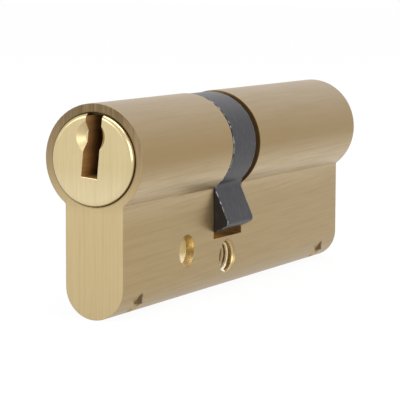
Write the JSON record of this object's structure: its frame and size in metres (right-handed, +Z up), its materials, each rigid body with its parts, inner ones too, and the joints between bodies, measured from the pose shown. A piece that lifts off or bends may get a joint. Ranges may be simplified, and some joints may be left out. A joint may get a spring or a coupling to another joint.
{
  "type": "euro double cylinder",
  "caption": "Euro profile double cylinder with a key plug at each end, a central cam with a locking lever and a threaded fixing hole through its web.",
  "frame": {"origin": "centre of the fixing screw's hole, on the mid-plane of the web", "axes": "+Y along the cylinder from the front key face to the back one, +X along the fixing hole towards the side that the lever leans to, +Z up towards the barrel"},
  "size_m": [0.017, 0.0816, 0.033],
  "materials": {
    "body_brass": "brushed satin brass",
    "plug_brass": "polished brass",
    "pin_brass": "turned brass",
    "black_steel": "black oxidised sintered steel",
    "steel": "turned steel",
    "hard_steel": "hardened ground steel",
    "spring_steel": "drawn spring wire"
  },
  "bodies": {
    "body": {"body": "body_brass", "front_caps": "pin_brass", "back_caps": "pin_brass", "front_guard_pins": "hard_steel", "back_guard_pins": "hard_steel", "front_pin_spring_1": "spring_steel", "front_pin_spring_2": "spring_steel", "front_pin_spring_3": "spring_steel", "front_pin_spring_4": "spring_steel", "front_pin_spring_5": "spring_steel", "front_pin_spring_6": "spring_steel", "back_pin_spring_1": "spring_steel", "back_pin_spring_2": "spring_steel", "back_pin_spring_3": "spring_steel", "back_pin_spring_4": "spring_steel", "back_pin_spring_5": "spring_steel", "back_pin_spring_6": "spring_steel"},
    "cam": {"cam": "black_steel", "clutch_spring": "spring_steel"},
    "front_plug": {"front_plug": "plug_brass", "front_clip": "spring_steel", "front_plug_guards": "hard_steel"},
    "front_clutch": {"front_clutch": "steel"},
    "front_key_pin_1": {"front_key_pin_1": "pin_brass"},
    "front_driver_pin_1": {"front_driver_pin_1": "steel"},
    "front_key_pin_2": {"front_key_pin_2": "pin_brass"},
    "front_driver_pin_2": {"front_driver_pin_2": "steel"},
    "front_key_pin_3": {"front_key_pin_3": "pin_brass"},
    "front_driver_pin_3": {"front_driver_pin_3": "steel"},
    "front_key_pin_4": {"front_key_pin_4": "pin_brass"},
    "front_driver_pin_4": {"front_driver_pin_4": "steel"},
    "front_key_pin_5": {"front_key_pin_5": "pin_brass"},
    "front_driver_pin_5": {"front_driver_pin_5": "steel"},
    "front_key_pin_6": {"front_key_pin_6": "pin_brass"},
    "front_driver_pin_6": {"front_driver_pin_6": "steel"},
    "back_plug": {"back_plug": "plug_brass", "back_clip": "spring_steel", "back_plug_guards": "hard_steel"},
    "back_clutch": {"back_clutch": "steel"},
    "back_key_pin_1": {"back_key_pin_1": "pin_brass"},
    "back_driver_pin_1": {"back_driver_pin_1": "steel"},
    "back_key_pin_2": {"back_key_pin_2": "pin_brass"},
    "back_driver_pin_2": {"back_driver_pin_2": "steel"},
    "back_key_pin_3": {"back_key_pin_3": "pin_brass"},
    "back_driver_pin_3": {"back_driver_pin_3": "steel"},
    "back_key_pin_4": {"back_key_pin_4": "pin_brass"},
    "back_driver_pin_4": {"back_driver_pin_4": "steel"},
    "back_key_pin_5": {"back_key_pin_5": "pin_brass"},
    "back_driver_pin_5": {"back_driver_pin_5": "steel"},
    "back_key_pin_6": {"back_key_pin_6": "pin_brass"},
    "back_driver_pin_6": {"back_driver_pin_6": "steel"}
  },
  "joints": [
    {"name": "front_plug_turn", "type": "hinge", "parent": "body", "child": "front_plug", "pos_m": [0, -0.02, 0.0188], "axis": [0, 1, 0], "continuous": true},
    {"name": "cam_turn", "type": "hinge", "parent": "body", "child": "cam", "pos_m": [0, 0, 0.0188], "axis": [0, 1, 0], "continuous": true},
    {"name": "back_plug_turn", "type": "hinge", "parent": "body", "child": "back_plug", "pos_m": [0, 0.03, 0.0188], "axis": [0, 1, 0], "continuous": true},
    {"name": "front_clutch_slide", "type": "slide", "parent": "front_plug", "child": "front_clutch", "axis": [0, 1, 0], "range_m": [-0.0025, 0], "deforming": ["clutch_spring"]},
    {"name": "back_clutch_slide", "type": "slide", "parent": "back_plug", "child": "back_clutch", "axis": [0, -1, 0], "range_m": [0, 0.0009], "stiffness_N_per_m": 50, "deforming": ["clutch_spring"]},
    {"name": "front_key_pin_1_slide", "type": "slide", "parent": "front_plug", "child": "front_key_pin_1", "axis": [0, 0, 1], "range_m": [0, 0.0036]},
    {"name": "front_driver_pin_1_slide", "type": "slide", "parent": "body", "child": "front_driver_pin_1", "axis": [0, 0, 1], "range_m": [-0.0065, 0], "stiffness_N_per_m": 100, "deforming": ["front_pin_spring_1"]},
    {"name": "front_key_pin_2_slide", "type": "slide", "parent": "front_plug", "child": "front_key_pin_2", "axis": [0, 0, 1], "range_m": [0, 0.0051]},
    {"name": "front_driver_pin_2_slide", "type": "slide", "parent": "body", "child": "front_driver_pin_2", "axis": [0, 0, 1], "range_m": [-0.0065, 0], "stiffness_N_per_m": 100, "deforming": ["front_pin_spring_2"]},
    {"name": "front_key_pin_3_slide", "type": "slide", "parent": "front_plug", "child": "front_key_pin_3", "axis": [0, 0, 1], "range_m": [0, 0.0041]},
    {"name": "front_driver_pin_3_slide", "type": "slide", "parent": "body", "child": "front_driver_pin_3", "axis": [0, 0, 1], "range_m": [-0.0065, 0], "stiffness_N_per_m": 100, "deforming": ["front_pin_spring_3"]},
    {"name": "front_key_pin_4_slide", "type": "slide", "parent": "front_plug", "child": "front_key_pin_4", "axis": [0, 0, 1], "range_m": [0, 0.0056]},
    {"name": "front_driver_pin_4_slide", "type": "slide", "parent": "body", "child": "front_driver_pin_4", "axis": [0, 0, 1], "range_m": [-0.0065, 0], "stiffness_N_per_m": 100, "deforming": ["front_pin_spring_4"]},
    {"name": "front_key_pin_5_slide", "type": "slide", "parent": "front_plug", "child": "front_key_pin_5", "axis": [0, 0, 1], "range_m": [0, 0.0046]},
    {"name": "front_driver_pin_5_slide", "type": "slide", "parent": "body", "child": "front_driver_pin_5", "axis": [0, 0, 1], "range_m": [-0.0065, 0], "stiffness_N_per_m": 100, "deforming": ["front_pin_spring_5"]},
    {"name": "front_key_pin_6_slide", "type": "slide", "parent": "front_plug", "child": "front_key_pin_6", "axis": [0, 0, 1], "range_m": [0, 0.0061]},
    {"name": "front_driver_pin_6_slide", "type": "slide", "parent": "body", "child": "front_driver_pin_6", "axis": [0, 0, 1], "range_m": [-0.0065, 0], "stiffness_N_per_m": 100, "deforming": ["front_pin_spring_6"]},
    {"name": "back_key_pin_1_slide", "type": "slide", "parent": "back_plug", "child": "back_key_pin_1", "axis": [0, 0, 1], "range_m": [0, 0.0036]},
    {"name": "back_driver_pin_1_slide", "type": "slide", "parent": "body", "child": "back_driver_pin_1", "axis": [0, 0, 1], "range_m": [-0.0065, 0], "stiffness_N_per_m": 100, "deforming": ["back_pin_spring_1"]},
    {"name": "back_key_pin_2_slide", "type": "slide", "parent": "back_plug", "child": "back_key_pin_2", "axis": [0, 0, 1], "range_m": [0, 0.0051]},
    {"name": "back_driver_pin_2_slide", "type": "slide", "parent": "body", "child": "back_driver_pin_2", "axis": [0, 0, 1], "range_m": [-0.0065, 0], "stiffness_N_per_m": 100, "deforming": ["back_pin_spring_2"]},
    {"name": "back_key_pin_3_slide", "type": "slide", "parent": "back_plug", "child": "back_key_pin_3", "axis": [0, 0, 1], "range_m": [0, 0.0041]},
    {"name": "back_driver_pin_3_slide", "type": "slide", "parent": "body", "child": "back_driver_pin_3", "axis": [0, 0, 1], "range_m": [-0.0065, 0], "stiffness_N_per_m": 100, "deforming": ["back_pin_spring_3"]},
    {"name": "back_key_pin_4_slide", "type": "slide", "parent": "back_plug", "child": "back_key_pin_4", "axis": [0, 0, 1], "range_m": [0, 0.0056]},
    {"name": "back_driver_pin_4_slide", "type": "slide", "parent": "body", "child": "back_driver_pin_4", "axis": [0, 0, 1], "range_m": [-0.0065, 0], "stiffness_N_per_m": 100, "deforming": ["back_pin_spring_4"]},
    {"name": "back_key_pin_5_slide", "type": "slide", "parent": "back_plug", "child": "back_key_pin_5", "axis": [0, 0, 1], "range_m": [0, 0.0046]},
    {"name": "back_driver_pin_5_slide", "type": "slide", "parent": "body", "child": "back_driver_pin_5", "axis": [0, 0, 1], "range_m": [-0.0065, 0], "stiffness_N_per_m": 100, "deforming": ["back_pin_spring_5"]},
    {"name": "back_key_pin_6_slide", "type": "slide", "parent": "back_plug", "child": "back_key_pin_6", "axis": [0, 0, 1], "range_m": [0, 0.0061]},
    {"name": "back_driver_pin_6_slide", "type": "slide", "parent": "body", "child": "back_driver_pin_6", "axis": [0, 0, 1], "range_m": [-0.0065, 0], "stiffness_N_per_m": 100, "deforming": ["back_pin_spring_6"]}
  ],
  "couplings": [
    {"joint": "cam_turn", "follows": "front_plug_turn", "ratio": 1}
  ]
}
